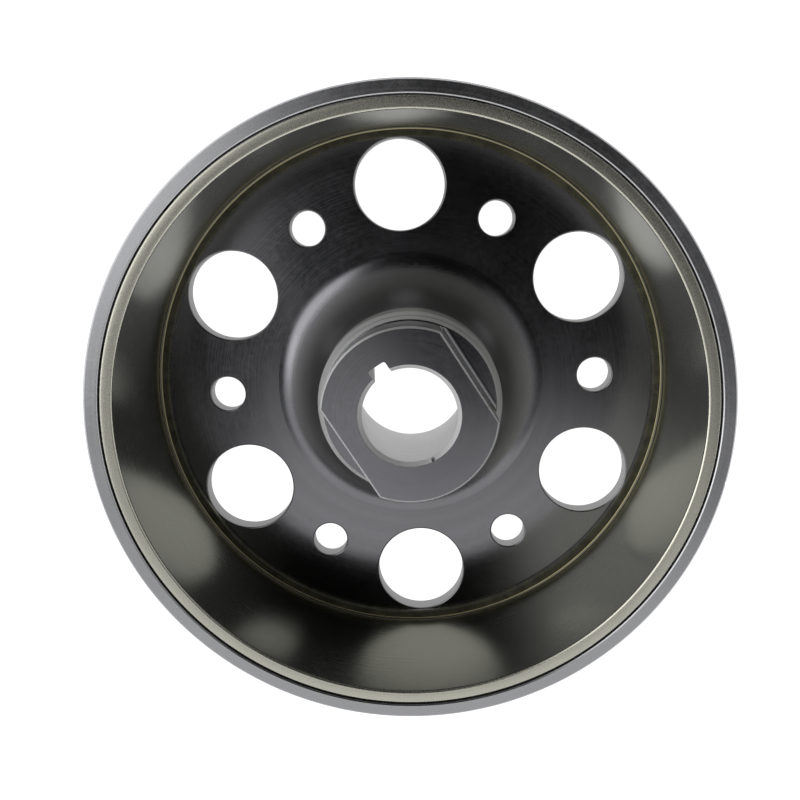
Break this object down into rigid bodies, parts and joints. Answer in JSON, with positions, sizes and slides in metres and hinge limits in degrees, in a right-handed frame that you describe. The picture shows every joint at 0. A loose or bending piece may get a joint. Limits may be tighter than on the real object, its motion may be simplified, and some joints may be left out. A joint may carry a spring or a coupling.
{
  "type": "magneto flywheel",
  "caption": "Cup-shaped magneto flywheel with a tapered, keyed hub, lightening holes in its web and arc magnets behind a stainless cover.",
  "frame": {"origin": "on the rotation axis, at the hub's rear face, which the part rests on", "axes": "+Z along the rotation axis, from the rear face to the open mouth; +X square to one spanner flat and through a lightening hole"},
  "size_m": [0.13, 0.13, 0.0405],
  "materials": {
    "forged_steel": "turned, lightly oiled",
    "stainless_cover": "polished wall, satin flange",
    "ring_alloy": "stained with adhesive",
    "magnet_alloy": "ground and plated",
    "spacer_resin": "moulded"
  },
  "bodies": {
    "root": {"rotor_body": "forged_steel", "magnet_cover": "stainless_cover", "base_ring": "ring_alloy", "magnet_01": "magnet_alloy", "magnet_02": "magnet_alloy", "magnet_03": "magnet_alloy", "magnet_04": "magnet_alloy", "magnet_05": "magnet_alloy", "magnet_06": "magnet_alloy", "magnet_07": "magnet_alloy", "magnet_08": "magnet_alloy", "magnet_09": "magnet_alloy", "magnet_10": "magnet_alloy", "magnet_11": "magnet_alloy", "magnet_12": "magnet_alloy", "magnet_spacer_01": "spacer_resin", "magnet_spacer_02": "spacer_resin", "magnet_spacer_03": "spacer_resin", "magnet_spacer_04": "spacer_resin", "magnet_spacer_05": "spacer_resin", "magnet_spacer_06": "spacer_resin", "magnet_spacer_07": "spacer_resin", "magnet_spacer_08": "spacer_resin", "magnet_spacer_09": "spacer_resin", "magnet_spacer_10": "spacer_resin", "magnet_spacer_11": "spacer_resin", "magnet_spacer_12": "spacer_resin"}
  },
  "joints": []
}
